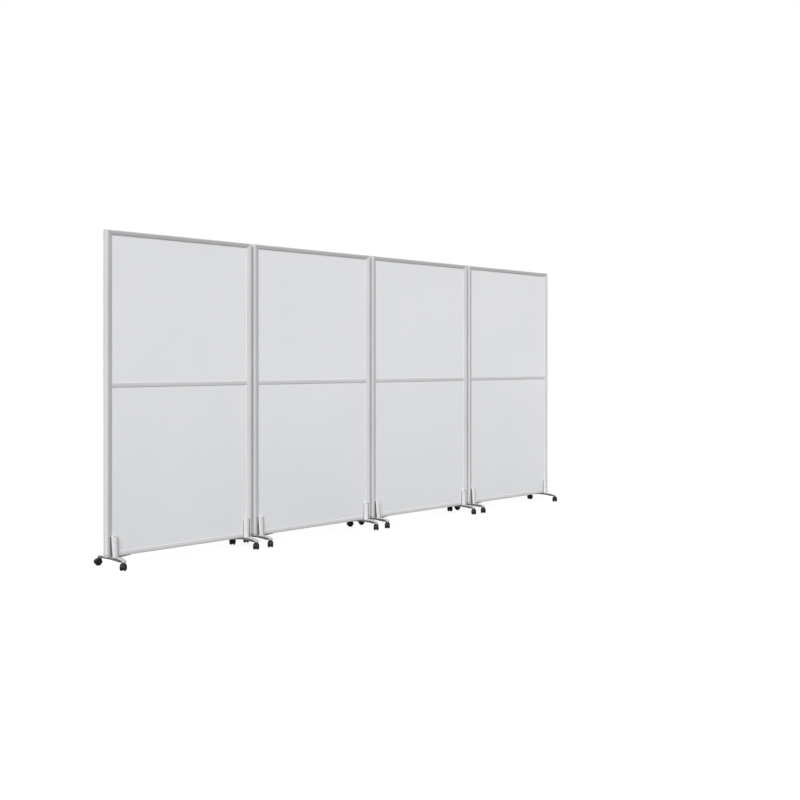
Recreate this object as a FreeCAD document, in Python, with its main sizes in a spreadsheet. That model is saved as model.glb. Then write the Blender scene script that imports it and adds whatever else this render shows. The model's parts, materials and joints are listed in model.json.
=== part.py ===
import FreeCAD, Part
import os

import Sketcher

# Rolling room divider: four framed panels in a row, each on two castered feet, linked by edge strips.
# Millimetres. +X runs along the row, -Y is the front, +Z is up, and the origin is on the floor at the
# middle of the row. A panel's own pieces are drawn round its centre line, a caster's round its stem.

PANEL_COUNT = 4

# Every size that can be set by itself.
SIZES = {
    # the row
    "overall_height": 1830,
    "panel_width": 1000,
    "panel_gap": 28,
    # frame profile, from its outer face inwards
    "outer_wall": 2,
    "chamber_width": 10.5,
    "groove_floor": 2.5,
    "board_grip": 15,
    # frame profile, from its middle to its front and back
    "lip_wall": 1.85,
    "bead_drop": 6,
    "edge_flat": 5,
    "corner_round": 1.5,
    "front_wall": 2.5,
    "core_width": 12,
    "core_wall": 2,
    # boards and middle rail
    "board_thickness": 24,
    "board_fit": 0.15,
    "board_play": 0.5,
    "mid_rail_height": 987,
    "mid_rail_face": 25,
    "mid_rail_web": 4,
    # corner keys inside the frame
    "key_leg": 45,
    "key_fit": 0.15,
    # edge strips and the channel that holds them
    "bulb_radius": 3.4,
    "channel_fit": 0.05,
    "channel_inset": 5.5,
    "throat_width": 4.8,
    "mouth_width": 7.2,
    "strip_web": 2.6,
    "strip_end_play": 3,
    "cover_width": 13,
    "cover_thickness": 1.2,
    # feet
    "foot_inset": 41,
    "foot_width": 44,
    "saddle_thickness": 19,
    "arch_rise": 6,
    "arch_half_span": 90,
    "upright_rise": 116,
    "upright_base": 13,
    "upright_tip": 8,
    "flank_base": 6,
    "flank_tip": 3.5,
    "upright_fit": 0.2,
    "upright_round": 10,
    "arm_shelf": 3,
    "arm_reach": 115,
    "arm_tip": 3,
    "arm_crown": 6,
    "arm_tip_width": 28,
    "foot_edge_round": 2,
    "shoe_length": 90,
    "shoe_root": 11,
    "shoe_tip": 3,
    "shoe_depth": 30,
    # bolts that clamp the feet to the lower boards
    "bolt_drop": 11,
    "clamp_boss_radius": 8,
    "bolt_radius": 3,
    "bolt_play": 0.3,
    "seat_wall": 4,
    "head_radius": 6,
    "head_height": 3.3,
    "head_play": 0.5,
    "nut_bore": 4.5,
    "nut_cap": 1.5,
    "bolt_end_play": 0.5,
    # casters
    "wheel_radius": 19,
    "wheel_width": 12.5,
    "tread_round": 2.5,
    "shoulder_round": 6,
    "rim_width": 8,
    "hub_radius": 5,
    "dish_depth": 2,
    "wheel_cap": 1.5,
    "trail": 11,
    "axle_radius": 2.5,
    "axle_fit": 0.05,
    "axle_play": 0.3,
    "yoke_web": 8,
    "keel_rise": 4,
    "hub_gap": 0.4,
    "hood_width": 22,
    "hood_gap": 1,
    "hood_wall": 2.5,
    "hood_skirt": 5,
    "hood_round": 1.5,
    "swivel_boss_radius": 9,
    "swivel_boss_rise": 0.5,
    "stem_root_radius": 3,
    "stem_root_depth": 8,
    "stem_collar_radius": 6,
    "stem_collar": 0.9,
    "swivel_gap": 0.1,
    "stem_radius": 4,
    "stem_fit": 0.05,
    "socket_depth": 7,
    "stem_end_play": 0.3,
}

# Which way each caster trails as it happens to stand, in degrees from +X, panel by panel.
CORNERS = ("left_front", "left_rear", "right_front", "right_rear")
HEADINGS = {
    1: (-137, 160, -139, 34),
    2: (-133, 45, -136, 148),
    3: (-141, 138, -134, 20),
    4: (-130, 130, -132, 170),
}

# Sizes worked out from the driving ones.
GROOVE_HALF = "(Size.board_thickness / 2 + Size.board_fit)"
LIP_HALF = f"({GROOVE_HALF} + Size.lip_wall)"
HALF_DEPTH = f"({LIP_HALF} + Size.bead_drop)"
CHAMBER_END = "(Size.outer_wall + Size.chamber_width)"
GROOVE_BOTTOM = f"({CHAMBER_END} + Size.groove_floor)"
FACE = f"({GROOVE_BOTTOM} + Size.board_grip)"
BEAD_RADIUS = f"((({FACE} - Size.edge_flat)^2 + Size.bead_drop^2) / (2 * Size.bead_drop))"
CHAMBER_NEAR = "(Size.core_width / 2)"
CHAMBER_FAR = f"({HALF_DEPTH} - Size.front_wall)"

HOOD_INNER = "(Size.wheel_radius + Size.hood_gap)"
HOOD_OUTER = f"({HOOD_INNER} + Size.hood_wall)"
WEB_HALF = "(Size.yoke_web / 2)"
WHEEL_INNER_FACE = f"({WEB_HALF} + Size.hub_gap)"
WHEEL_OUTER_FACE = f"({WHEEL_INNER_FACE} + Size.wheel_width)"
SWIVEL_BOSS_TOP = f"(Size.wheel_radius + {HOOD_OUTER} + Size.swivel_boss_rise)"
ARM_UNDERSIDE = f"({SWIVEL_BOSS_TOP} + Size.stem_collar + Size.swivel_gap)"

FRAME_BOTTOM = f"({ARM_UNDERSIDE} + Size.saddle_thickness)"
FRAME_HEIGHT = f"(Size.overall_height - {FRAME_BOTTOM})"
HALF_WIDTH = "(Size.panel_width / 2)"
PANEL_PITCH = "(Size.panel_width + Size.panel_gap)"
CHANNEL_RADIUS = "(Size.bulb_radius + Size.channel_fit)"
STRIP_END = f"(Size.channel_inset + {CHANNEL_RADIUS} + Size.strip_end_play)"
STRIP_LENGTH = f"({FRAME_HEIGHT} - 2 * {STRIP_END})"
BULB_SHOULDER = "sqrt(Size.bulb_radius^2 - (Size.strip_web / 2)^2)"

UPRIGHT_INNER = f"({HALF_DEPTH} + Size.upright_fit)"
UPRIGHT_OUTER = f"({UPRIGHT_INNER} + Size.upright_base)"
UPRIGHT_TOP = f"({FRAME_BOTTOM} + Size.upright_rise)"
ARM_START = f"({UPRIGHT_OUTER} + Size.arm_shelf)"
ARM_END = "(Size.arm_reach + Size.arm_tip_width)"
ARM_TAPER = f"((Size.foot_width - Size.arm_tip_width) / 2 / (Size.arm_reach - {UPRIGHT_OUTER}))"
BOLT_SEAT = f"({UPRIGHT_INNER} + Size.seat_wall)"
BOLT_HEIGHT = f"({UPRIGHT_TOP} - Size.bolt_drop)"
BOLT_HOLE = "(Size.bolt_radius + Size.bolt_play)"
FOOT_CENTRE = f"({HALF_WIDTH} - Size.foot_inset)"

HALF_TURN = 180
UP = FreeCAD.Vector(0, 0, 1)
ALONG = FreeCAD.Vector(1, 0, 0)
ACROSS = FreeCAD.Vector(0, 1, 0)

doc = FreeCAD.newDocument("RollingRoomDivider")


def fill_sheet():
    """Writes every size into the sheet, its name beside it and as its alias."""
    sheet = doc.addObject("Spreadsheet::Sheet", "Size")
    entries = dict(SIZES)
    for panel, headings in HEADINGS.items():
        for corner, heading in zip(CORNERS, headings):
            entries[f"heading_{panel}_{corner}"] = heading
    for row, (alias, number) in enumerate(entries.items(), start=1):
        sheet.set(f"A{row}", alias)
        sheet.set(f"B{row}", str(number))
        sheet.setAlias(f"B{row}", alias)
    doc.recompute()
    return sheet


size_sheet = fill_sheet()


def value(expression):
    """The number that an expression of sheet sizes stands for."""
    return float(size_sheet.evalExpression(expression))


def new_body(name, **place):
    """A body whose place along x, y and z is bound to expressions."""
    body = doc.addObject("PartDesign::Body", name)
    for axis, expression in place.items():
        body.setExpression(f"Placement.Base.{axis}", expression)
    return body


def new_sketch(body, plane, lift=None):
    """A sketch on one of the body's own planes, moved along the plane's normal by lift."""
    sketch = body.newObject("Sketcher::SketchObject", f"{body.Name}_sketch")
    support = [feature for feature in body.Origin.OriginFeatures if feature.Role == plane]
    sketch.AttachmentSupport = (support[0], "")
    sketch.MapMode = "FlatFace"
    if lift:
        sketch.setExpression("AttachmentOffset.Base.z", lift)
    return sketch


def pin_point(sketch, edge, end, x, y):
    """Holds a point of the sketch at two expressions measured from the sketch's origin."""
    rules = (("DistanceX", x, -2), ("DistanceY", y, -1))
    for kind, expression, axis in rules:
        if expression == "0":
            sketch.addConstraint(Sketcher.Constraint("PointOnObject", edge, end, axis))
            continue
        rule = sketch.addConstraint(Sketcher.Constraint(kind, -1, 1, edge, end, value(expression)))
        sketch.setExpression(f"Constraints[{rule}]", expression)


def arc_crown(here, there, radius, bulge, major):
    """The middle point of an arc between two points, which bulges to the left (1) or right (-1)."""
    chord = there - here
    half = chord.Length / 2
    rise = (radius**2 - half**2) ** 0.5
    sagitta = radius + rise if major else radius - rise
    left = FreeCAD.Vector(-chord.y, chord.x, 0).normalize()
    return (here + there) * 0.5 + left * (sagitta * bulge)


def draw_outline(sketch, corners, arcs=None):
    """Draws a closed outline through corners, each an (x, y) pair of expressions.

    arcs maps the number of an edge to (radius, bulge, major), and the other edges are straight.
    """
    arcs = arcs or {}
    points = [FreeCAD.Vector(value(x), value(y), 0) for x, y in corners]
    edges = []
    for number, here in enumerate(points):
        there = points[(number + 1) % len(points)]
        if number not in arcs:
            edge = sketch.addGeometry(Part.LineSegment(here, there))
            edges.append((edge, 1, 2))
            continue
        radius, bulge, major = arcs[number]
        crown = arc_crown(here, there, value(radius), bulge, major)
        edge = sketch.addGeometry(Part.Arc(here, crown, there))
        ends = (2, 1) if bulge > 0 else (1, 2)
        edges.append((edge, *ends))
        rule = sketch.addConstraint(Sketcher.Constraint("Radius", edge, value(radius)))
        sketch.setExpression(f"Constraints[{rule}]", radius)
    for number, (edge, start, finish) in enumerate(edges):
        follower, follower_start, _ = edges[(number + 1) % len(edges)]
        sketch.addConstraint(Sketcher.Constraint("Coincident", edge, finish, follower, follower_start))
        pin_point(sketch, edge, start, *corners[number])


def draw_circle(sketch, x, y, radius):
    """Draws a circle whose centre and radius are expressions."""
    centre = FreeCAD.Vector(value(x), value(y), 0)
    edge = sketch.addGeometry(Part.Circle(centre, UP, value(radius)))
    pin_point(sketch, edge, 3, x, y)
    rule = sketch.addConstraint(Sketcher.Constraint("Radius", edge, value(radius)))
    sketch.setExpression(f"Constraints[{rule}]", radius)


def draw_rectangle(sketch, left, right, low, high):
    """Draws a rectangle between four expressions."""
    draw_outline(sketch, [(left, low), (right, low), (right, high), (left, high)])


def pad(body, sketch, length, symmetric=False, reverse=False):
    """Raises a sketch into material, and makes sure that it added some."""
    before = 0 if body.Shape.isNull() else body.Shape.Volume
    feature = body.newObject("PartDesign::Pad", f"{body.Name}_pad")
    feature.Profile = sketch
    feature.setExpression("Length", length)
    feature.SideType = "Symmetric" if symmetric else "One side"
    feature.Reversed = reverse
    doc.recompute()
    if body.Shape.Volume <= before:
        raise RuntimeError(f"{feature.Name} adds nothing")
    return feature


def pocket(body, sketch, depth=None, symmetric=False, reverse=False):
    """Cuts a sketch away, right through where no depth is given, and makes sure that it met material."""
    before = body.Shape.Volume
    feature = body.newObject("PartDesign::Pocket", f"{body.Name}_pocket")
    feature.Profile = sketch
    if depth:
        feature.setExpression("Length", depth)
    else:
        feature.Type = "ThroughAll"
    feature.SideType = "Symmetric" if symmetric else "One side"
    feature.Reversed = reverse
    doc.recompute()
    if body.Shape.Volume >= before:
        raise RuntimeError(f"{feature.Name} cuts nothing")
    return feature


def revolve(body, sketch):
    """Turns a half section fully round the upright axis of its sketch."""
    feature = body.newObject("PartDesign::Revolution", f"{body.Name}_turn")
    feature.Profile = sketch
    feature.ReferenceAxis = (sketch, ["V_Axis"])
    doc.recompute()
    return feature


def loft(body, sections):
    """Joins sections by straight lines into a solid, and makes sure that it added material."""
    before = body.Shape.Volume
    feature = body.newObject("PartDesign::AdditiveLoft", f"{body.Name}_loft")
    feature.Profile = sections[0]
    feature.Sections = sections[1:]
    feature.Ruled = True
    doc.recompute()
    if body.Shape.Volume <= before:
        raise RuntimeError(f"{feature.Name} adds nothing")
    return feature


def round_edges(body, radius, chosen):
    """Rounds the edges of the body that the test picks by their middle point and direction."""
    base = body.Tip
    names = []
    for number, edge in enumerate(base.Shape.Edges, start=1):
        middle = edge.valueAt((edge.FirstParameter + edge.LastParameter) / 2)
        if chosen(middle, edge):
            names.append(f"Edge{number}")
    if not names:
        raise RuntimeError(f"{body.Name} has no such edge to round")
    feature = body.newObject("PartDesign::Fillet", f"{body.Name}_round")
    feature.Base = (base, names)
    feature.setExpression("Radius", radius)
    doc.recompute()
    return feature


def copy_of(source, name, turn_axis=None, **place):
    """A second copy of a piece, turned half round an axis and moved to x, y and z expressions."""
    link = doc.addObject("App::Link", name)
    link.LinkedObject = source
    link.LinkTransform = True
    if turn_axis:
        link.Placement = FreeCAD.Placement(FreeCAD.Vector(), FreeCAD.Rotation(turn_axis, HALF_TURN))
    for axis, expression in place.items():
        link.setExpression(f"Placement.Base.{axis}", expression)
    return link


def flat_edge(edge):
    """Whether an edge is a straight line."""
    return isinstance(edge.Curve, Part.Line)


def upright_edge(edge):
    """Whether an edge runs straight up."""
    box = edge.BoundBox
    return flat_edge(edge) and same(box.XLength, 0) and same(box.YLength, 0)


def profile_section(sketch, swap, core_chamber):
    """Draws the frame's section: u runs in from the outer face, v from the middle to front and back.

    The front and back are a narrow flat that runs tangent into a convex bead, and the inner side is a
    groove for the board. Two chambers take the corner keys; a rail has a third one between them.
    """

    def at(u, v):
        return (v, u) if swap else (u, v)

    round_end = f"({HALF_DEPTH} - Size.corner_round)"
    corners = [
        ("0", f"-{round_end}"),
        ("Size.corner_round", f"-{HALF_DEPTH}"),
        ("Size.edge_flat", f"-{HALF_DEPTH}"),
        (FACE, f"-{LIP_HALF}"),
        (FACE, f"-{GROOVE_HALF}"),
        (GROOVE_BOTTOM, f"-{GROOVE_HALF}"),
        (GROOVE_BOTTOM, GROOVE_HALF),
        (FACE, GROOVE_HALF),
        (FACE, LIP_HALF),
        ("Size.edge_flat", HALF_DEPTH),
        ("Size.corner_round", HALF_DEPTH),
        ("0", round_end),
    ]
    bulge = 1 if swap else -1
    corner = ("Size.corner_round", bulge, False)
    bead = (BEAD_RADIUS, bulge, False)
    draw_outline(sketch, [at(u, v) for u, v in corners], {0: corner, 2: bead, 8: bead, 10: corner})

    chambers = [(CHAMBER_NEAR, CHAMBER_FAR), (f"-{CHAMBER_FAR}", f"-{CHAMBER_NEAR}")]
    if core_chamber:
        core_half = f"({CHAMBER_NEAR} - Size.core_wall)"
        chambers.append((f"-{core_half}", core_half))
    for low, high in chambers:
        loop = [
            ("Size.outer_wall", low),
            (CHAMBER_END, low),
            (CHAMBER_END, high),
            ("Size.outer_wall", high),
        ]
        draw_outline(sketch, [at(u, v) for u, v in loop])


def saw_mitres(body, swap, length):
    """Saws both ends of a frame member at 45 degrees, from its outer face inwards."""
    sketch = new_sketch(body, "XZ_Plane")
    near = [("0", "0"), (FACE, FACE), (FACE, "0")]
    far = [("0", length), (FACE, f"({length} - {FACE})"), (FACE, length)]
    for triangle in (near, far):
        draw_outline(sketch, [(z, u) if swap else (u, z) for u, z in triangle])
    pocket(body, sketch, symmetric=True)


def make_stile():
    """The left stile, with the edge strip's channel in its outer face."""
    body = new_body("left_stile", x=f"-{HALF_WIDTH}", z=FRAME_BOTTOM)
    section = new_sketch(body, "XY_Plane")
    profile_section(section, swap=False, core_chamber=False)
    pad(body, section, FRAME_HEIGHT)

    bore = new_sketch(body, "XY_Plane")
    draw_circle(bore, "Size.channel_inset", "0", CHANNEL_RADIUS)
    pocket(body, bore, reverse=True)

    mouth = new_sketch(body, "XY_Plane")
    throat = f"(Size.channel_inset - sqrt({CHANNEL_RADIUS}^2 - (Size.throat_width / 2)^2))"
    flare = [
        ("0", "-Size.mouth_width / 2"),
        (throat, "-Size.throat_width / 2"),
        ("Size.channel_inset", "-Size.throat_width / 2"),
        ("Size.channel_inset", "Size.throat_width / 2"),
        (throat, "Size.throat_width / 2"),
        ("0", "Size.mouth_width / 2"),
    ]
    draw_outline(mouth, flare)
    pocket(body, mouth, reverse=True)

    saw_mitres(body, swap=False, length=FRAME_HEIGHT)
    return body


def make_rail():
    """The bottom rail, which serves as the top rail too when it is turned over."""
    body = new_body("bottom_rail", x=f"-{HALF_WIDTH}", z=FRAME_BOTTOM)
    section = new_sketch(body, "YZ_Plane")
    profile_section(section, swap=True, core_chamber=True)
    pad(body, section, "Size.panel_width")
    saw_mitres(body, swap=True, length="Size.panel_width")
    return body


def make_mid_rail():
    """The middle rail: an H section whose web runs on into the stiles' grooves as a tongue."""
    body = new_body("mid_rail", z="Size.mid_rail_height")
    web = new_sketch(body, "YZ_Plane")
    draw_rectangle(web, f"-{LIP_HALF}", LIP_HALF, "-Size.mid_rail_web / 2", "Size.mid_rail_web / 2")
    clear_width = f"(Size.panel_width - 2 * {FACE})"
    pad(body, web, clear_width, symmetric=True)

    flanges = new_sketch(body, "YZ_Plane")
    for low, high in ((f"-{LIP_HALF}", f"-{GROOVE_HALF}"), (GROOVE_HALF, LIP_HALF)):
        draw_rectangle(flanges, low, high, "-Size.mid_rail_face / 2", "Size.mid_rail_face / 2")
    pad(body, flanges, clear_width, symmetric=True)

    tongue = new_sketch(body, "YZ_Plane")
    half = "Size.board_thickness / 2"
    draw_rectangle(tongue, f"-{half}", half, "-Size.mid_rail_web / 2", "Size.mid_rail_web / 2")
    pad(body, tongue, f"(Size.panel_width - 2 * {GROOVE_BOTTOM} - 2 * Size.board_play)", symmetric=True)
    return body


def make_board(name, low, high, holes):
    """An infill board between two heights, standing on what is under it, with the feet's bolt holes."""
    body = new_body(name)
    sheet = new_sketch(body, "XZ_Plane")
    half = f"({HALF_WIDTH} - {GROOVE_BOTTOM} - Size.board_play)"
    draw_rectangle(sheet, f"-{half}", half, low, high)
    pad(body, sheet, "Size.board_thickness", symmetric=True)
    if holes:
        drilling = new_sketch(body, "XZ_Plane")
        for across in (f"-{FOOT_CENTRE}", FOOT_CENTRE):
            draw_circle(drilling, across, BOLT_HEIGHT, BOLT_HOLE)
        pocket(body, drilling, symmetric=True)
    return body


def make_corner_key():
    """The angle piece that joins a mitre, in the front chamber of the lower left corner."""
    middle = f"(({CHAMBER_NEAR} + {CHAMBER_FAR}) / 2)"
    body = new_body("corner_key", x=f"-{HALF_WIDTH}", y=f"-{middle}", z=FRAME_BOTTOM)
    near = "(Size.outer_wall + Size.key_fit)"
    inner = f"({CHAMBER_END} - Size.key_fit)"
    far = f"({near} + Size.key_leg)"
    angle = new_sketch(body, "XZ_Plane")
    draw_outline(angle, [(near, near), (far, near), (far, inner), (inner, inner), (inner, far), (near, far)])
    pad(body, angle, f"({CHAMBER_FAR} - {CHAMBER_NEAR} - 2 * Size.key_fit)", symmetric=True)
    return body


def make_link_strip():
    """The strip that joins two panels: a web across the gap with a bulb in each panel's channel."""
    body = new_body("link_strip", x=HALF_WIDTH, z=f"({FRAME_BOTTOM} + {STRIP_END})")
    section = new_sketch(body, "XY_Plane")
    near = f"({BULB_SHOULDER} - Size.channel_inset)"
    far = f"(Size.panel_gap + Size.channel_inset - {BULB_SHOULDER})"
    half = "Size.strip_web / 2"
    corners = [(near, f"-{half}"), (far, f"-{half}"), (far, half), (near, half)]
    bulb = ("Size.bulb_radius", -1, True)
    draw_outline(section, corners, {1: bulb, 3: bulb})
    pad(body, section, STRIP_LENGTH)
    return body


def make_cover_strip():
    """The strip that closes a free end's channel: a bulb inside and a low cap on the end face."""
    body = new_body("cover_strip", x=f"-{HALF_WIDTH}", z=f"({FRAME_BOTTOM} + {STRIP_END})")
    section = new_sketch(body, "XY_Plane")
    shoulder = f"(Size.channel_inset - {BULB_SHOULDER})"
    half = "Size.strip_web / 2"
    cap_half = "Size.cover_width / 2"
    cap_radius = "((Size.cover_width^2 / 4 + Size.cover_thickness^2) / (2 * Size.cover_thickness))"
    corners = [
        (shoulder, half),
        ("0", half),
        ("0", cap_half),
        ("0", f"-{cap_half}"),
        ("0", f"-{half}"),
        (shoulder, f"-{half}"),
    ]
    cap = (cap_radius, -1, False)
    bulb = ("Size.bulb_radius", -1, True)
    draw_outline(section, corners, {2: cap, 5: bulb})
    pad(body, section, STRIP_LENGTH)
    return body


def make_foot():
    """A foot: an arched base with a tapered arm to each caster, and a domed upright on each face.

    The uprights lean a little and clamp the board near their tops; a shoe runs on under the rail.
    """
    body = new_body("left_foot", x=f"-{FOOT_CENTRE}")
    half = "Size.foot_width / 2"
    tip_half = "Size.arm_tip_width / 2"
    base = new_sketch(body, "XY_Plane", ARM_UNDERSIDE)
    plan = [
        (f"-{half}", f"-{UPRIGHT_OUTER}"),
        (f"-{tip_half}", "-Size.arm_reach"),
        (tip_half, "-Size.arm_reach"),
        (half, f"-{UPRIGHT_OUTER}"),
        (half, UPRIGHT_OUTER),
        (tip_half, "Size.arm_reach"),
        (f"-{tip_half}", "Size.arm_reach"),
        (f"-{half}", UPRIGHT_OUTER),
    ]
    nose = (f"({tip_half} * sqrt(1 + {ARM_TAPER}^2))", -1, False)
    draw_outline(base, plan, {1: nose, 5: nose})
    pad(body, base, "Size.saddle_thickness")

    slope = new_sketch(body, "YZ_Plane")
    above = f"({FRAME_BOTTOM} + Size.saddle_thickness)"
    tip_top = f"({ARM_UNDERSIDE} + Size.arm_tip)"
    half_chord = f"(sqrt(({ARM_END} - {ARM_START})^2 + ({FRAME_BOTTOM} - {tip_top})^2) / 2)"
    crown = (f"(({half_chord}^2 + Size.arm_crown^2) / (2 * Size.arm_crown))", 1, False)
    wedge = [(ARM_START, FRAME_BOTTOM), (ARM_END, tip_top), (ARM_END, above), (ARM_START, above)]
    draw_outline(slope, wedge, {0: crown})
    draw_outline(slope, [(f"-{y}", z) for y, z in reversed(wedge)], {2: crown})
    pocket(body, slope, symmetric=True)

    arch = new_sketch(body, "YZ_Plane")
    arch_radius = "((Size.arch_half_span^2 + Size.arch_rise^2) / (2 * Size.arch_rise))"
    ends = [("-Size.arch_half_span", ARM_UNDERSIDE), ("Size.arch_half_span", ARM_UNDERSIDE)]
    draw_outline(arch, ends, {0: (arch_radius, 1, False)})
    pocket(body, arch, symmetric=True)

    low = value(f"({ARM_UNDERSIDE} + Size.arch_rise)")
    shelf = value(ARM_START)
    round_edges(
        body,
        "Size.foot_edge_round",
        lambda at, edge: abs(at.y) > shelf and at.z > low and not upright_edge(edge),
    )

    shoe = new_sketch(body, "XZ_Plane")
    shoe_end = f"({half} + Size.shoe_length)"
    wedge = [
        ("0", FRAME_BOTTOM),
        (half, f"({FRAME_BOTTOM} - Size.shoe_root)"),
        (shoe_end, f"({FRAME_BOTTOM} - Size.shoe_tip)"),
        (shoe_end, FRAME_BOTTOM),
    ]
    draw_outline(shoe, wedge)
    pad(body, shoe, "Size.shoe_depth", symmetric=True)

    for sign, bulge in (("-", -1), ("", 1)):
        sections = []
        levels = ((FRAME_BOTTOM, "base"), (UPRIGHT_TOP, "tip"))
        for level, end in levels:
            section = new_sketch(body, "XY_Plane", level)
            flank = f"({UPRIGHT_INNER} + Size.flank_{end})"
            rise = f"(Size.upright_{end} - Size.flank_{end})"
            dome = (f"((({half})^2 + {rise}^2) / (2 * {rise}))", bulge, False)
            corners = [
                (f"-{half}", f"{sign}{flank}"),
                (half, f"{sign}{flank}"),
                (half, f"{sign}{UPRIGHT_INNER}"),
                (f"-{half}", f"{sign}{UPRIGHT_INNER}"),
            ]
            draw_outline(section, corners, {0: dome})
            sections.append(section)
        loft(body, sections)

    crest = value(UPRIGHT_TOP)
    side = value(half)
    round_edges(body, "Size.upright_round", lambda at, edge: same(abs(at.x), side) and same(at.z, crest))

    boss_length = f"({UPRIGHT_INNER} - Size.board_thickness / 2)"
    for lift, reverse in (("Size.board_thickness / 2", False), ("-Size.board_thickness / 2", True)):
        boss = new_sketch(body, "XZ_Plane", lift)
        draw_circle(boss, "0", BOLT_HEIGHT, "Size.clamp_boss_radius")
        pad(body, boss, boss_length, reverse=reverse)

    hole = new_sketch(body, "XZ_Plane")
    draw_circle(hole, "0", BOLT_HEIGHT, BOLT_HOLE)
    pocket(body, hole, symmetric=True)
    for lift, reverse in ((BOLT_SEAT, True), (f"-{BOLT_SEAT}", False)):
        recess = new_sketch(body, "XZ_Plane", lift)
        draw_circle(recess, "0", BOLT_HEIGHT, "(Size.head_radius + Size.head_play)")
        pocket(body, recess, reverse=reverse)

    sockets = new_sketch(body, "XY_Plane", ARM_UNDERSIDE)
    for reach in ("Size.arm_reach", "-Size.arm_reach"):
        draw_circle(sockets, "0", reach, "(Size.stem_radius + Size.stem_fit)")
    pocket(body, sockets, "Size.socket_depth", reverse=True)
    return body


def make_bolt():
    """A domed clamp bolt, its head in the front recess and its shank along +Y."""
    body = new_body("clamp_bolt", x=f"-{FOOT_CENTRE}", y=f"-{BOLT_SEAT}", z=BOLT_HEIGHT)
    section = new_sketch(body, "XY_Plane")
    length = f"(2 * {BOLT_SEAT} + Size.nut_bore - Size.bolt_end_play)"
    corners = [
        ("0", "-Size.head_height"),
        ("Size.head_radius", "0"),
        ("Size.bolt_radius", "0"),
        ("Size.bolt_radius", length),
        ("0", length),
    ]
    dome = ("((Size.head_radius^2 + Size.head_height^2) / (2 * Size.head_height))", -1, False)
    draw_outline(section, corners, {0: dome})
    revolve(body, section)
    return body


def make_nut():
    """The domed cap nut in the rear recess."""
    body = new_body("cap_nut", x=f"-{FOOT_CENTRE}", y=BOLT_SEAT, z=BOLT_HEIGHT)
    section = new_sketch(body, "XY_Plane")
    height = "(Size.nut_bore + Size.nut_cap)"
    corners = [
        ("Size.bolt_radius", "0"),
        ("Size.head_radius", "0"),
        ("0", height),
        ("0", "Size.nut_bore"),
        ("Size.bolt_radius", "Size.nut_bore"),
    ]
    dome = (f"((Size.head_radius^2 + {height}^2) / (2 * {height}))", -1, False)
    draw_outline(section, corners, {1: dome})
    revolve(body, section)
    return body


def make_wheel():
    """One wheel of a caster: a rounded tread, a dished outer face and a blind bore for the axle."""
    body = new_body("wheel", x="Size.trail", y=WHEEL_INNER_FACE, z="Size.wheel_radius")
    section = new_sketch(body, "XY_Plane")
    bore = "(Size.axle_radius + Size.axle_fit)"
    rim = "(Size.wheel_radius - Size.rim_width)"
    inner_shoulder = "(Size.wheel_radius - Size.tread_round)"
    outer_shoulder = "(Size.wheel_radius - Size.shoulder_round)"
    dish = "(Size.wheel_width - Size.dish_depth)"
    bore_end = "(Size.wheel_width - Size.wheel_cap)"
    corners = [
        (bore, "0"),
        (inner_shoulder, "0"),
        ("Size.wheel_radius", "Size.tread_round"),
        ("Size.wheel_radius", "(Size.wheel_width - Size.shoulder_round)"),
        (outer_shoulder, "Size.wheel_width"),
        (rim, "Size.wheel_width"),
        (rim, dish),
        ("Size.hub_radius", dish),
        ("Size.hub_radius", "Size.wheel_width"),
        ("0", "Size.wheel_width"),
        ("0", bore_end),
        (bore, bore_end),
    ]
    inner_round = ("Size.tread_round", -1, False)
    outer_round = ("Size.shoulder_round", -1, False)
    draw_outline(section, corners, {1: inner_round, 3: outer_round})
    revolve(body, section)
    return body


def make_hood():
    """The yoke: a hood over the wheels' inner halves, a round web between them and a boss for the stem."""
    body = new_body("hood")
    boss = new_sketch(body, "XY_Plane", "Size.wheel_radius")
    draw_circle(boss, "0", "0", "Size.swivel_boss_radius")
    pad(body, boss, f"({SWIVEL_BOSS_TOP} - Size.wheel_radius)")

    shell = new_sketch(body, "XZ_Plane")
    skirt = "(Size.wheel_radius - Size.hood_skirt)"
    half_chord = f"sqrt({HOOD_OUTER}^2 - Size.hood_skirt^2)"
    ends = [(f"(Size.trail + {half_chord})", skirt), (f"(Size.trail - {half_chord})", skirt)]
    draw_outline(shell, ends, {0: (HOOD_OUTER, -1, True)})
    pad(body, shell, "Size.hood_width", symmetric=True)
    side = value("Size.hood_width / 2")
    round_edges(
        body,
        "Size.hood_round",
        lambda at, edge: same(abs(at.y), side) and not flat_edge(edge),
    )

    for lift, reverse in ((WEB_HALF, True), (f"-{WEB_HALF}", False)):
        well = new_sketch(body, "XZ_Plane", lift)
        draw_circle(well, "Size.trail", "Size.wheel_radius", HOOD_INNER)
        pocket(body, well, reverse=reverse)

    keel = new_sketch(body, "XZ_Plane")
    draw_circle(keel, "Size.trail", "Size.wheel_radius", "(Size.wheel_radius - Size.keel_rise)")
    pad(body, keel, "Size.yoke_web", symmetric=True)

    axle_hole = new_sketch(body, "XZ_Plane")
    draw_circle(axle_hole, "Size.trail", "Size.wheel_radius", "Size.axle_radius")
    pocket(body, axle_hole, symmetric=True)
    stem_hole = new_sketch(body, "XY_Plane", SWIVEL_BOSS_TOP)
    draw_circle(stem_hole, "0", "0", "Size.stem_root_radius")
    pocket(body, stem_hole, "Size.stem_root_depth")
    return body


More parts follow.
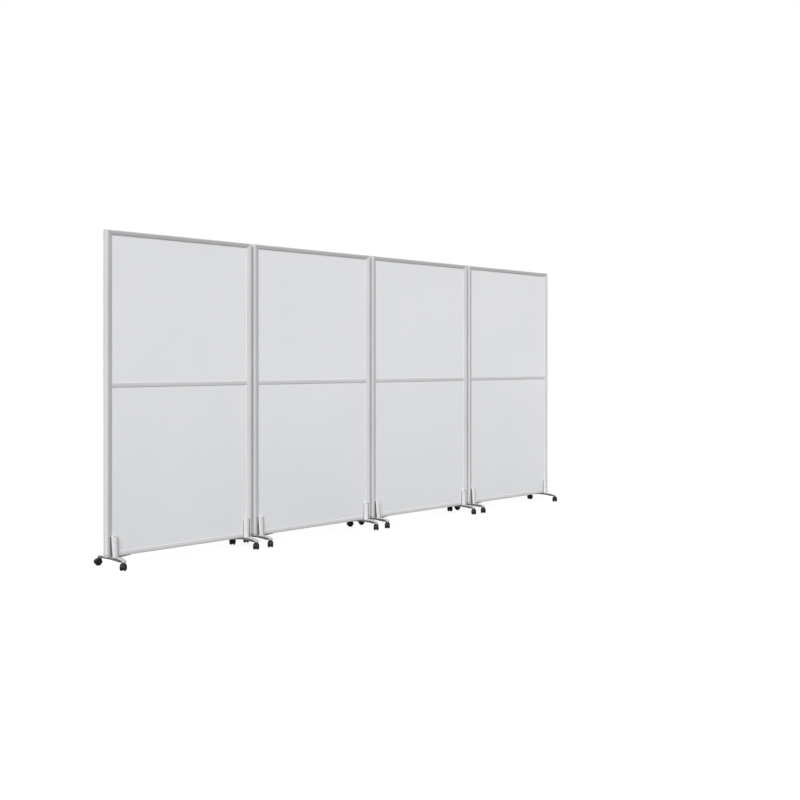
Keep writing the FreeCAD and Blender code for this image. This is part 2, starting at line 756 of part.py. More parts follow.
def make_stem():
    """The swivel stem: pressed into the hood, with a collar under the arm and a shank in its socket."""
    body = new_body("stem", z=SWIVEL_BOSS_TOP)
    section = new_sketch(body, "XZ_Plane")
    top = "(Size.stem_collar + Size.swivel_gap + Size.socket_depth - Size.stem_end_play)"
    corners = [
        ("0", "-Size.stem_root_depth"),
        ("Size.stem_root_radius", "-Size.stem_root_depth"),
        ("Size.stem_root_radius", "0"),
        ("Size.stem_collar_radius", "0"),
        ("Size.stem_collar_radius", "Size.stem_collar"),
        ("Size.stem_radius", "Size.stem_collar"),
        ("Size.stem_radius", top),
        ("0", top),
    ]
    draw_outline(section, corners)
    revolve(body, section)
    return body


def make_axle():
    """The axle, pressed through the hood's web, with a wheel's blind bore on each end."""
    half = f"({WHEEL_OUTER_FACE} - Size.wheel_cap - Size.axle_play)"
    axle = doc.addObject("Part::Cylinder", "axle")
    axle.Placement = FreeCAD.Placement(FreeCAD.Vector(), FreeCAD.Rotation(ALONG, -HALF_TURN / 2))
    axle.setExpression("Radius", "Size.axle_radius")
    axle.setExpression("Height", f"2 * {half}")
    axle.setExpression("Placement.Base.x", "Size.trail")
    axle.setExpression("Placement.Base.y", f"-{half}")
    axle.setExpression("Placement.Base.z", "Size.wheel_radius")
    return axle


def same(first, second):
    """Whether two lengths agree to within a hundredth of a millimetre."""
    return abs(first - second) < 0.01


def node(label, pieces, turn=None, **place):
    """One node of the assembly: a group of separate solids, put where the expressions say."""
    group = doc.addObject("Part::Compound", label)
    group.Label = label
    group.Links = pieces
    for axis, expression in place.items():
        group.setExpression(f"Placement.Base.{axis}", expression)
    if turn:
        group.setExpression("Placement.Rotation.Angle", turn)
    return group


def panel_centre(number):
    """Where the middle of a panel lies along the row, as an expression."""
    return f"(({2 * number - PANEL_COUNT - 1} / 2) * {PANEL_PITCH})"


def make_panels():
    """The pieces of one panel, and the nodes that repeat them for every panel of the row."""
    over = {"z": f"({FRAME_BOTTOM} + Size.overall_height)"}
    stile = make_stile()
    stiles = [stile, copy_of(stile, "right_stile", UP)]
    rail = make_rail()
    rails = [rail, make_mid_rail(), copy_of(rail, "top_rail", ALONG, **over)]
    web_half = "Size.mid_rail_web / 2"
    boards = [
        make_board(
            "lower_board",
            f"({FRAME_BOTTOM} + {GROOVE_BOTTOM})",
            f"(Size.mid_rail_height - {web_half} - Size.board_play)",
            holes=True,
        ),
        make_board(
            "upper_board",
            f"(Size.mid_rail_height + {web_half})",
            f"(Size.overall_height - {GROOVE_BOTTOM} - Size.board_play)",
            holes=False,
        ),
    ]
    key = make_corner_key()
    rear_key = copy_of(key, "rear_key", y=f"({CHAMBER_NEAR} + {CHAMBER_FAR})")
    keys = [key, rear_key]
    for source in (key, rear_key):
        keys.append(copy_of(source, f"{source.Name}_right", UP))
        keys.append(copy_of(source, f"{source.Name}_top_left", ALONG, **over))
        keys.append(copy_of(source, f"{source.Name}_top_right", ACROSS, **over))
    foot = make_foot()
    feet = [foot, copy_of(foot, "right_foot", UP)]
    bolt = make_bolt()
    nut = make_nut()
    bolts = [bolt, nut]
    bolts += [copy_of(piece, f"right_{piece.Name}", x=f"(2 * {FOOT_CENTRE})") for piece in (bolt, nut)]
    link_strip = make_link_strip()
    cover = make_cover_strip()
    right_cover = copy_of(cover, "right_cover", UP)

    nodes = []
    for number in range(1, PANEL_COUNT + 1):
        strips = [cover] if number == 1 else []
        strips.append(right_cover if number == PANEL_COUNT else link_strip)
        groups = {
            "stiles": stiles,
            "rails": rails,
            "infill_boards": boards,
            "corner_keys": keys,
            "edge_strips": strips,
            "feet": feet,
            "foot_bolts": bolts,
        }
        for label, pieces in groups.items():
            nodes.append(node(f"panel_{number}_{label}", pieces, x=panel_centre(number)))
    return nodes


def make_casters():
    """The pieces of one caster, and a yoke node and a wheels node for each place in the row."""
    yoke = [make_hood(), make_stem(), make_axle()]
    wheel = make_wheel()
    wheels = [wheel, copy_of(wheel, "far_wheel", UP, x="(2 * Size.trail)")]
    nodes = []
    for number in range(1, PANEL_COUNT + 1):
        for corner in CORNERS:
            across = FOOT_CENTRE if "right" in corner else f"-{FOOT_CENTRE}"
            place = {
                "x": f"({panel_centre(number)} + {across})",
                "y": "Size.arm_reach" if "rear" in corner else "-Size.arm_reach",
                "turn": f"Size.heading_{number}_{corner}",
            }
            nodes.append(node(f"panel_{number}_{corner}_caster_yoke", yoke, **place))
            nodes.append(node(f"panel_{number}_{corner}_caster_wheels", wheels, **place))
    return nodes


def write_nodes(nodes):
    """Checks every object and shape, then writes each node to its own file."""
    doc.recompute()
    failed = [item.Name for item in doc.Objects if {"Invalid", "Error"} & set(item.State)]
    if failed:
        raise RuntimeError(f"failed objects: {failed}")
    for item in nodes:
        if item.Shape.isNull() or not item.Shape.isValid():
            raise RuntimeError(f"{item.Label} has no valid shape")
    os.makedirs("parts", exist_ok=True)
    for item in nodes:
        item.Shape.exportStep(f"parts/{item.Label}.step")
    print(f"{len(nodes)} nodes, {sum(len(item.Shape.Solids) for item in nodes)} solids")


write_nodes(make_panels() + make_casters())
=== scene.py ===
# %% [markdown]
# # A rolling room divider
# Four framed panels stand in a row on castered feet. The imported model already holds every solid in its
# place, so this lesson dresses it: it sweeps smooth frame members, turns the wheels and bolts, lays a
# seal round each board, and gives each surface a finish. All lengths are metres in the model's frame.

import json

import bpy
import numpy as np
from mathutils import Euler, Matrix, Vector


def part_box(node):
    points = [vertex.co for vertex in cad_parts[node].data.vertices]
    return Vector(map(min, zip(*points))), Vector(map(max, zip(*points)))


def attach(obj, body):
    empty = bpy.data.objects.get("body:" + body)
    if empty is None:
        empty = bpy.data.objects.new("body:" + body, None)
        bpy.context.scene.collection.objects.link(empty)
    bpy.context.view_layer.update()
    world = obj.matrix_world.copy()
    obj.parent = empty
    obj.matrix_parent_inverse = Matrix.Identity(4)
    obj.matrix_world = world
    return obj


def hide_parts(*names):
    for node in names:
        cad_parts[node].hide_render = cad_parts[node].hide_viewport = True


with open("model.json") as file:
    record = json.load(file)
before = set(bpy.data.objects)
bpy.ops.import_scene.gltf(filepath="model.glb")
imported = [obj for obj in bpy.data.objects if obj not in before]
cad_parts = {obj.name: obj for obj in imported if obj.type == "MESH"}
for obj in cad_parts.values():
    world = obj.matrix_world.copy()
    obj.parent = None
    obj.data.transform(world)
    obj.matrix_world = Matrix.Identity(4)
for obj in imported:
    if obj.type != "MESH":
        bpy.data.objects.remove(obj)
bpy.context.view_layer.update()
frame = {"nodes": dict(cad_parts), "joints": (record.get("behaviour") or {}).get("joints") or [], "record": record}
nodes = frame["nodes"]
PANELS = [f"panel_{number}" for number in (1, 2, 3, 4)]

# %% [markdown]
# ## Camera
# The picture was taken with a level camera at about chest height, left of the row and in front of it.
# A level camera keeps the stiles upright in the picture, so the view is slid down with the lens shift
# instead of being tilted. The place and angle come from the row's straight edges.

# %% Set up the camera
CAMERA_PLACE = (-5.37, -5.23, 1.118)
CAMERA_HEADING = np.radians(-47.33)
FOCAL_LENGTH = 50.0
SENSOR_WIDTH = 36.0
LENS_SHIFT = -0.048

lens = bpy.data.cameras.new("row_camera")
lens.lens = FOCAL_LENGTH
lens.sensor_width = SENSOR_WIDTH
lens.shift_y = LENS_SHIFT
camera = bpy.data.objects.new("row_camera", lens)
camera.location = CAMERA_PLACE
camera.rotation_euler = Euler((np.pi / 2, 0.0, CAMERA_HEADING))
bpy.context.scene.collection.objects.link(camera)
bpy.context.scene.camera = camera
bpy.context.scene.view_settings.view_transform = "Standard"
print("camera", CAMERA_PLACE)

# %% [markdown]
# ## Node helpers
# A material is a small graph. A few helpers keep the graphs short: one adds a node and fills its sockets,
# others do sums, mix colours, stretch a range and take a vector apart. Noise mostly stays between 0.3
# and 0.7, so that range is stretched before it is used.

# %% Write the node helpers
NOISE_LOW, NOISE_HIGH = 0.3, 0.7


def add(tree, kind, settings=None, **sockets):
    """Adds a node; settings are its own options, sockets its inputs by name (Base_Color) or number (i0)."""
    node = tree.nodes.new(kind)
    for option, choice in (settings or {}).items():
        setattr(node, option, choice)
    for name, given in sockets.items():
        numbered = name[0] == "i" and name[1:].isdigit()
        socket = node.inputs[int(name[1:]) if numbered else name.replace("_", " ")]
        if isinstance(given, bpy.types.NodeSocket):
            tree.links.new(given, socket)
        else:
            socket.default_value = given
    return node


def maths(tree, operation, *operands):
    """A Math node on its operands, each a number or a socket; gives its output."""
    sockets = {f"i{place}": operand for place, operand in enumerate(operands)}
    return add(tree, "ShaderNodeMath", {"operation": operation}, **sockets).outputs[0]


def blend_colours(tree, factor, first, second):
    """A colour mix: first where factor is 0, second where it is 1."""
    return add(tree, "ShaderNodeMix", {"data_type": "RGBA"}, i0=factor, i6=first, i7=second).outputs[2]


def remap(tree, given, low, high, to_low=0.0, to_high=1.0):
    """A clamped linear step from low..high to to_low..to_high."""
    return add(tree, "ShaderNodeMapRange", i0=given, i1=low, i2=high, i3=to_low, i4=to_high).outputs[0]


def spread(tree, noise, to_low=0.0, to_high=1.0):
    """The middle range of a noise, stretched to to_low..to_high."""
    return remap(tree, noise, NOISE_LOW, NOISE_HIGH, to_low, to_high)


def axes(tree, vector):
    """The x, y and z parts of a vector."""
    return add(tree, "ShaderNodeSeparateXYZ", Vector=vector).outputs


print("node helpers ready")


# %% Write the helpers that start a group or a finish
def new_group(name, inputs, outputs):
    """An empty shader group; inputs and outputs map socket names to (type, default)."""
    tree = bpy.data.node_groups.new(name, "ShaderNodeTree")
    for side, sockets in (("INPUT", inputs), ("OUTPUT", outputs)):
        for label, (kind, default) in sockets.items():
            socket = tree.interface.new_socket(label, in_out=side, socket_type=f"NodeSocket{kind}")
            if default is not None:
                socket.default_value = default
    return tree, tree.nodes.new("NodeGroupInput"), tree.nodes.new("NodeGroupOutput")


def new_finish(name, roughness, metallic=0.0):
    """A material with a Principled shader; gives it with its tree, shader and coordinates node."""
    material = bpy.data.materials.new(name)
    material.use_nodes = True
    tree = material.node_tree
    shader = tree.nodes["Principled BSDF"]
    shader.inputs["Roughness"].default_value = roughness
    shader.inputs["Metallic"].default_value = metallic
    place = tree.nodes.new("ShaderNodeTexCoord")
    return material, tree, shader, place


print("group and finish helpers ready")

# %% [markdown]
# ## Shared effects
# Three effects turn up on several finishes. Drawn surfaces carry fine streaks along the way they were
# pulled, cast and moulded ones a fine pebbled skin, and everything near a floor gathers some dust on
# faces that look up. Each effect is one node group, placed with its own values.

# %% Build the drawn streaks group
streaks, given, made = new_group(
    "drawn_streaks",
    {"Vector": ("Vector", None), "Stretch": ("Vector", (400.0, 400.0, 4.0))},
    {"Shade": ("Float", None), "Height": ("Float", None)},
)
spot, stretch = given.outputs["Vector"], given.outputs["Stretch"]
pulled = add(streaks, "ShaderNodeVectorMath", {"operation": "MULTIPLY"}, i0=spot, i1=stretch).outputs[0]
fine = add(streaks, "ShaderNodeTexNoise", Vector=pulled, Scale=1.0, Detail=3.0, Roughness=0.65).outputs[0]
wide = add(streaks, "ShaderNodeTexNoise", Vector=spot, Scale=2.2, Detail=2.0).outputs[0]
half_fine = maths(streaks, "MULTIPLY", fine, 0.5)
streaks.links.new(maths(streaks, "MULTIPLY_ADD", wide, 0.5, half_fine), made.inputs["Shade"])
streaks.links.new(fine, made.inputs["Height"])
print("group", streaks.name)

# %% Build the pebbled skin group
pebbles, given, made = new_group(
    "pebbled_skin",
    {"Vector": ("Vector", None), "Grain": ("Float", 900.0), "Patches": ("Float", 6.0)},
    {"Shade": ("Float", None), "Height": ("Float", None)},
)
spot, fineness, patch = (given.outputs[label] for label in ("Vector", "Grain", "Patches"))
grain = add(pebbles, "ShaderNodeTexNoise", Vector=spot, Scale=fineness, Detail=2.0)
patches = add(pebbles, "ShaderNodeTexNoise", Vector=spot, Scale=patch, Detail=4.0, Roughness=0.6)
pebbles.links.new(patches.outputs[0], made.inputs["Shade"])
pebbles.links.new(grain.outputs[0], made.inputs["Height"])
print("group", pebbles.name)

# %% Build the settled dust group
dust, given, made = new_group(
    "settled_dust",
    {
        "Vector": ("Vector", None),
        "Normal": ("Vector", None),
        "Reach": ("Float", 0.25),
        "Amount": ("Float", 0.5),
    },
    {"Mask": ("Float", None)},
)
spot = given.outputs["Vector"]
height = axes(dust, spot)[2]
looking_up = axes(dust, given.outputs["Normal"])[2]
near_floor = maths(dust, "SUBTRACT", 1.0, maths(dust, "DIVIDE", height, given.outputs["Reach"]))
near_floor = maths(dust, "MAXIMUM", near_floor, 0.0)
lying = remap(dust, looking_up, 0.2, 1.0, 0.25, 1.0)
cloud = add(dust, "ShaderNodeTexNoise", Vector=spot, Scale=60.0, Detail=5.0, Roughness=0.7).outputs[0]
strewn = maths(dust, "MULTIPLY", remap(dust, cloud, 0.35, 0.7), given.outputs["Amount"])
mask = maths(dust, "MULTIPLY", maths(dust, "MULTIPLY", near_floor, lying), strewn)
dust.links.new(mask, made.inputs["Mask"])
print("group", dust.name)

# %% Write the helpers that place the effects
DUST_TONE = (0.62, 0.6, 0.57, 1.0)


def effect(tree, group, place, **sockets):
    """Places a shared effect on a finish, in the object's own coordinates; gives its outputs."""
    spot = place.outputs["Object"]
    return add(tree, "ShaderNodeGroup", {"node_tree": group}, Vector=spot, **sockets).outputs


def dusted(tree, place, tone, reach, amount):
    """A tone with dust over it, up to a reach above the floor."""
    dust_and_shade = effect(tree, dust, place, Normal=place.outputs["Normal"], Reach=reach, Amount=amount)
    return blend_colours(tree, dust_and_shade["Mask"], tone, DUST_TONE)


def bumped(tree, shader, height, strength, distance):
    """Lets a height ripple the shader's normal."""
    bump = add(tree, "ShaderNodeBump", Strength=strength, Distance=distance, Height=height)
    tree.links.new(bump.outputs[0], shader.inputs["Normal"])


def carried(tree, label):
    """A number that a mesh carries for each point."""
    return add(tree, "ShaderNodeAttribute", {"attribute_name": label}).outputs["Fac"]


print("effect helpers ready")

# %% [markdown]
# ## Finishes of the frame
# The frame is satin anodised aluminium. Its streaks run along each member, so stiles and rails share
# one recipe with a different stretch. Two numbers carried by the swept meshes help: rub is 1 on the
# outer corners, where hands polish the metal, and mitre is 1 at a sawn end, where a fine line shows,
# and half on the lip by the board, where it is painted shade. The lowest edge is darkened as painted
# shade near the floor, so the tone falls there.

# %% Make the frame's finishes
FRAME_TONE = (0.565, 0.57, 0.58, 1.0)
FRAME_LIGHT = (0.655, 0.66, 0.67, 1.0)
RUBBED_TONE = (0.72, 0.725, 0.735, 1.0)
# The dark mitre tone marks sawn ends and is also painted shade on the lip by the board.
MITRE_AND_SHADE_TONE = (0.3, 0.3, 0.31, 1.0)
# Painted shade: the next tone darkens the frame near the floor.
FLOOR_SHADE_TONE = (0.36, 0.362, 0.368, 1.0)
RUBBED_SHARE, MITRE_AND_SHADE_SHARE, FLOOR_SHADE_SHARE = 0.3, 0.6, 0.55
FLOOR_SHADE_TOP, FLOOR_SHADE_FOOT = 0.088, 0.066
RUBBED_GLOSS = 0.1


def frame_finish(name, stretch):
    """Satin metal: streaks, polished corners, dark mitres, and painted shade by the board and at the foot."""
    material, tree, shader, place = new_finish(name, 0.45, 0.08)
    shader.inputs["Specular IOR Level"].default_value = 0.3
    streak = effect(tree, streaks, place, Stretch=stretch)
    rub = carried(tree, "rub")
    height = axes(tree, place.outputs["Object"])[2]
    # Painted shade: the tone falls over the frame's lowest few centimetres, towards the floor.
    floor_shade = remap(tree, height, FLOOR_SHADE_TOP, FLOOR_SHADE_FOOT, 0.0, FLOOR_SHADE_SHARE)
    # The mitre number brings the sawn ends and the painted shade on the lip by the board.
    sawn_and_shaded = maths(tree, "MULTIPLY", carried(tree, "mitre"), MITRE_AND_SHADE_SHARE)
    tone = blend_colours(tree, spread(tree, streak["Shade"]), FRAME_TONE, FRAME_LIGHT)
    tone = blend_colours(tree, maths(tree, "MULTIPLY", rub, RUBBED_SHARE), tone, RUBBED_TONE)
    tone = blend_colours(tree, sawn_and_shaded, tone, MITRE_AND_SHADE_TONE)
    tone = blend_colours(tree, floor_shade, tone, FLOOR_SHADE_TONE)
    tree.links.new(tone, shader.inputs["Base Color"])
    rough = spread(tree, streak["Height"], 0.34, 0.46)
    polish = maths(tree, "MULTIPLY", rub, RUBBED_GLOSS)
    tree.links.new(maths(tree, "SUBTRACT", rough, polish), shader.inputs["Roughness"])
    bumped(tree, shader, streak["Height"], 0.14, 0.0004)
    return material


stile_satin = frame_finish("stile_satin", (700.0, 700.0, 5.0))
rail_satin = frame_finish("rail_satin", (5.0, 700.0, 700.0))
print("finishes", stile_satin.name, rail_satin.name)

# %% [markdown]
# ## Finish of the boards
# The infill is board with a white melamine face: almost even, with a fine pearl structure that breaks
# up the gloss, and a breath of unevenness over its length. The boards grey a little towards the floor,
# which is painted shade.

# %% Make the boards' finish
BOARD_TONE = (0.826, 0.834, 0.848, 1.0)
BOARD_LIGHT = (0.851, 0.858, 0.87, 1.0)
# The next tone is painted shade towards the floor.
BOARD_SHADE_TONE = (0.594, 0.604, 0.618, 1.0)
BOARD_SHADE_TOP, BOARD_SHADE_FOOT, BOARD_SHADE_SHARE = 1.0, 0.06, 0.26

board_white, tree, shader, place = new_finish("board_white", 0.55)
skin = effect(tree, pebbles, place, Grain=700.0, Patches=1.7)
height = axes(tree, place.outputs["Object"])[2]
# Painted shade: the boards darken from a metre high down to the floor.
board_shade = remap(tree, height, BOARD_SHADE_TOP, BOARD_SHADE_FOOT, 0.0, BOARD_SHADE_SHARE)
tone = blend_colours(tree, spread(tree, skin["Shade"]), BOARD_TONE, BOARD_LIGHT)
tone = blend_colours(tree, board_shade, tone, BOARD_SHADE_TONE)
tree.links.new(dusted(tree, place, tone, 0.3, 0.25), shader.inputs["Base Color"])
tree.links.new(spread(tree, skin["Height"], 0.48, 0.62), shader.inputs["Roughness"])
bumped(tree, shader, skin["Height"], 0.08, 0.0003)
print("finish", board_white.name)

# %% [markdown]
# ## Finish of the feet
# The feet are two-tone castings whose tones also paint shade. Each upright has a silver ridge with a
# charcoal flank towards the panel's end, partly charcoal paint and partly painted shade, which widens
# towards the floor, and a grey flank towards the panel's middle, which is painted shade. The arms are
# silver dimmed on top as painted shade and charcoal at the sides and below, partly paint and partly
# painted shade, and the shoe under the rail is grey painted shade.
# The height, the distance from the foot's own middle line and the object's normal tell these zones
# apart, so the split stays in place wherever a panel turns.

# %% Measure the feet
PANEL_HALF_DEPTH = 0.0195
UPRIGHT_FOOT, UPRIGHT_TOP = 0.064, 0.178
FOOT_HALF_WIDTH = 0.022
RIDGE_AT_FOOT, RIDGE_AT_TOP = 0.0135, 0.0192
RIDGE_INNER = 0.0208
RIDGE_BLUR, UPRIGHT_BLUR = 0.0004, 0.001
ARM_EDGE, ARM_TOP = 0.35, 0.5

feet_low, feet_high = map(np.asarray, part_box("panel_1_feet"))
next_low, _ = map(np.asarray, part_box("panel_2_feet"))
FOOT_PITCH = float(next_low[0] - feet_low[0])
FOOT_MIDDLE = float(feet_low[0] + feet_high[0]) / 2
FOOT_OFFSET = float(feet_high[0] - feet_low[0]) / 2 - FOOT_HALF_WIDTH
print("feet: pitch", FOOT_PITCH, "offset", FOOT_OFFSET)

# %% Split the feet into zones
foot_cast, tree, shader, place = new_finish("foot_two_tone_and_shade", 0.42)
spot = axes(tree, place.outputs["Object"])
facing = axes(tree, place.outputs["Normal"])
along = maths(tree, "SUBTRACT", spot[0], FOOT_MIDDLE)
from_middle = maths(tree, "WRAP", along, FOOT_PITCH / 2, -FOOT_PITCH / 2)
aside = maths(tree, "SUBTRACT", maths(tree, "ABSOLUTE", from_middle), FOOT_OFFSET)
ridge_half = remap(tree, spot[2], UPRIGHT_FOOT, UPRIGHT_TOP, RIDGE_AT_FOOT, RIDGE_AT_TOP)
ridge = remap(tree, maths(tree, "SUBTRACT", ridge_half, aside), -RIDGE_BLUR, RIDGE_BLUR)
# Painted shade: the flank towards the panel's middle turns grey.
inner_flank = maths(tree, "LESS_THAN", aside, -RIDGE_INNER)
on_upright = remap(tree, spot[2], UPRIGHT_FOOT - UPRIGHT_BLUR, UPRIGHT_FOOT + UPRIGHT_BLUR)
outwards = maths(tree, "MULTIPLY", facing[1], maths(tree, "SIGN", spot[1]))
arm_top = remap(tree, maths(tree, "MAXIMUM", outwards, facing[2]), ARM_EDGE, ARM_TOP)
# Painted shade: the shoe under the rail turns grey.
outside = maths(tree, "GREATER_THAN", maths(tree, "ABSOLUTE", spot[1]), PANEL_HALF_DEPTH)
print("zones ready")

# %% Make the feet's finish
FOOT_SILVER = (0.74, 0.745, 0.755, 1.0)
FOOT_PALE = (0.69, 0.695, 0.705, 1.0)
# The arms' darker silver is painted shade on their tops; the charcoal is paint and painted shade; the shoe grey is
# painted shade.
ARM_SHADED_SILVER = (0.4, 0.403, 0.41, 1.0)
CHARCOAL_AND_SHADE = (0.07, 0.072, 0.076, 1.0)
SHOE_SHADE_GREY = (0.26, 0.262, 0.268, 1.0)
RIDGE_METAL = 0.3

skin = effect(tree, pebbles, place, Grain=1100.0, Patches=28.0)
bright = blend_colours(tree, spread(tree, skin["Shade"]), FOOT_PALE, FOOT_SILVER)
# Painted shade: the charcoal flank widens towards the floor, and the grey flank and the shoe are painted shade
# too.
upright_tone = blend_colours(tree, ridge, CHARCOAL_AND_SHADE, bright)
upright_tone = blend_colours(tree, inner_flank, upright_tone, SHOE_SHADE_GREY)
arm_tone = blend_colours(tree, arm_top, CHARCOAL_AND_SHADE, ARM_SHADED_SILVER)
tone = blend_colours(tree, on_upright, arm_tone, upright_tone)
tone = blend_colours(tree, outside, SHOE_SHADE_GREY, tone)
tree.links.new(dusted(tree, place, tone, 0.2, 0.25), shader.inputs["Base Color"])
metal = maths(tree, "MULTIPLY", maths(tree, "MULTIPLY", ridge, on_upright), RIDGE_METAL)
tree.links.new(metal, shader.inputs["Metallic"])
tree.links.new(spread(tree, skin["Height"], 0.36, 0.5), shader.inputs["Roughness"])
bumped(tree, shader, skin["Height"], 0.12, 0.0003)
print("finish", foot_cast.name)

# %% [markdown]
# ## Finishes of the plastics
# The edge strips are grey plastic drawn through a die, so they take the streaks; the covers in the free
# ends of the row are a paler grey than the links between panels, whose darker grey is painted shade in
# the gaps. The casters are black moulded plastic with a pebbled skin. Their wheels scuff grey where
# they meet the floor: the turned meshes carry a number called tread that is 1 on the running face.

# %% Make the plastics' finishes
FREE_END = 2.035
COVER_TONE = (0.6, 0.605, 0.61, 1.0)
SCUFF_TONE = (0.05, 0.049, 0.048, 1.0)


def strip_finish(name, dark, light):
    """Drawn plastic: streaks along the height mix two close greys and ripple the gloss."""
    material, tree, shader, place = new_finish(name, 0.5)
    streak = effect(tree, streaks, place, Stretch=(900.0, 900.0, 7.0))
    along = axes(tree, place.outputs["Object"])[0]
    # Painted shade: the links between panels keep the darker greys; only the free ends take the paler cover tone.
    free_end = maths(tree, "GREATER_THAN", maths(tree, "ABSOLUTE", along), FREE_END)
    tone = blend_colours(tree, streak["Shade"], dark, light)
    tone = blend_colours(tree, free_end, tone, COVER_TONE)
    tree.links.new(tone, shader.inputs["Base Color"])
    tree.links.new(spread(tree, streak["Height"], 0.42, 0.58), shader.inputs["Roughness"])
    return material


def caster_finish(name, dark, light, scuffed):
    """Moulded black: patches mix two blacks, dust settles, and a scuffed piece greys along its tread."""
    material, tree, shader, place = new_finish(name, 0.45)
    shader.inputs["Specular IOR Level"].default_value = 0.12
    skin = effect(tree, pebbles, place, Grain=1600.0, Patches=70.0)
    tone = blend_colours(tree, spread(tree, skin["Shade"]), dark, light)
    if scuffed:
        patchy = remap(tree, skin["Shade"], 0.35, 0.65, 0.1, 0.4)
        worn = maths(tree, "MULTIPLY", carried(tree, "tread"), patchy)
        tone = blend_colours(tree, worn, tone, SCUFF_TONE)
    tree.links.new(dusted(tree, place, tone, 0.12, 0.03), shader.inputs["Base Color"])
    tree.links.new(spread(tree, skin["Height"], 0.36, 0.55), shader.inputs["Roughness"])
    bumped(tree, shader, skin["Height"], 0.15, 0.0002)
    return material


# The darker greys are painted shade on the links in the gaps.
strip_grey_and_gap_shade = strip_finish("strip_grey_and_gap_shade", (0.46, 0.465, 0.47, 1.0), (0.54, 0.545, 0.55, 1.0))
seal_grey = strip_finish("seal_grey", (0.6, 0.605, 0.612, 1.0), (0.67, 0.675, 0.682, 1.0))
YOKE_BLACKS = (0.005, 0.005, 0.0055, 1.0), (0.009, 0.009, 0.0095, 1.0)
WHEEL_BLACKS = (0.006, 0.006, 0.0065, 1.0), (0.011, 0.011, 0.0115, 1.0)
yoke_black = caster_finish("yoke_black", *YOKE_BLACKS, scuffed=False)
wheel_black = caster_finish("wheel_black", *WHEEL_BLACKS, scuffed=True)
print("finishes", strip_grey_and_gap_shade.name, seal_grey.name, yoke_black.name, wheel_black.name)

# %% [markdown]
# ## Finish of the small metal
# Bolts and nuts are zinc plated: bright, slightly blotchy metal. The corner keys inside the frame are
# raw aluminium that nobody sees until the frame comes apart; they take the same recipe, a little duller.

# %% Make the small metal's finishes
PLATED_METAL = 0.9
GLOSSIER, DULLER = 0.07, 0.1


def plated_finish(name, dark, light, roughness):
    """Plated metal: patches mix two tones of metal and shift the gloss."""
    material, tree, shader, place = new_finish(name, roughness, PLATED_METAL)
    skin = effect(tree, pebbles, place, Grain=2000.0, Patches=160.0)
    tone = blend_colours(tree, skin["Shade"], dark, light)
    tree.links.new(tone, shader.inputs["Base Color"])
    rough = spread(tree, skin["Shade"], roughness - GLOSSIER, roughness + DULLER)
    tree.links.new(rough, shader.inputs["Roughness"])
    return material


bolt_zinc = plated_finish("bolt_zinc", (0.66, 0.67, 0.685, 1.0), (0.78, 0.78, 0.78, 1.0), 0.34)
key_raw = plated_finish("key_raw", (0.6, 0.61, 0.62, 1.0), (0.75, 0.75, 0.76, 1.0), 0.45)
print("finishes", bolt_zinc.name, key_raw.name)

# %% [markdown]
# ## From arrays to a mesh
# Every new piece is worked out as whole arrays of points. One helper joins a grid of points into quads,
# one puts points and faces into Blender, and one makes several shells into a single piece.


# %% Write the mesh helpers
def grid_faces(rows, columns, closed=False, first=0):
    """Quads of a grid stored row by row: each point joins its right and lower neighbours.

    closed joins the last column to the first one again; first is the number of the grid's first point.
    """
    across = columns if closed else columns - 1
    row, column = np.meshgrid(np.arange(rows - 1), np.arange(across), indexing="ij")
    here = first + row * columns + column
    beside = first + row * columns + (column + 1) % columns
    return np.stack([here, beside, beside + columns, here + columns], axis=-1).reshape(-1, 4)


def build_piece(name, points, faces, finish, body, numbers=None, sharp=35.0):
    """Makes a mesh object of points and faces, smooth but for edges sharper than an angle, on a body."""
    mesh = bpy.data.meshes.new(name)
    mesh.from_pydata(points.tolist(), [], [list(map(int, face)) for face in faces])
    for label, values in (numbers or {}).items():
        layer = mesh.attributes.new(label, "FLOAT", "POINT")
        layer.data.foreach_set("value", np.asarray(values, dtype=np.float32))
    mesh.shade_smooth()
    mesh.set_sharp_from_angle(angle=np.radians(sharp))
    mesh.validate()
    mesh.materials.append(finish)
    piece = bpy.data.objects.new(name, mesh)
    bpy.context.scene.collection.objects.link(piece)
    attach(piece, body)
    return piece


def joined(shells):
    """Several (points, faces, numbers) shells as one, with the later faces renumbered."""
    points, faces, numbers, start = [], [], {}, 0
    for shell_points, shell_faces, shell_numbers in shells:
        points.append(shell_points)
        faces += [[start + int(corner) for corner in face] for face in shell_faces]
        for label, values in shell_numbers.items():
            numbers.setdefault(label, []).append(values)
        start += len(shell_points)
    merged = {label: np.concatenate(values) for label, values in numbers.items()}
    return np.concatenate(points), faces, merged


print("mesh helpers ready")

# %% [markdown]
# ## The frame's section
# A frame member is one section carried along a straight line. The section has a narrow flat at the
# outer edge, then a convex bead that falls towards the board, and a groove that holds the board. Rails
# show a slightly slimmer face than stiles. The stile's outer face also has a round channel with a flared
# mouth for the edge strip.

# %% Draw the frame's section
FACE = 0.030
RAIL_FACE = 0.024
HALF_DEPTH = 0.020
EDGE_FLAT = 0.005
CORNER_ROUND = 0.0015
LIP_HALF = 0.0148
MID_FACE_HALF = 0.014
GROOVE_HALF = 0.01215
GROOVE_BOTTOM = 0.015
BEAD_DROP = HALF_DEPTH - LIP_HALF
BEAD_POWER = 1.35
BEAD_RUB = 0.25
CHANNEL_CENTRE, CHANNEL_RADIUS = 0.0055, 0.00345
THROAT_HALF, MOUTH_HALF = 0.0024, 0.0036
CORNER_STEPS, BEAD_STEPS, BORE_STEPS = 7, 17, 10


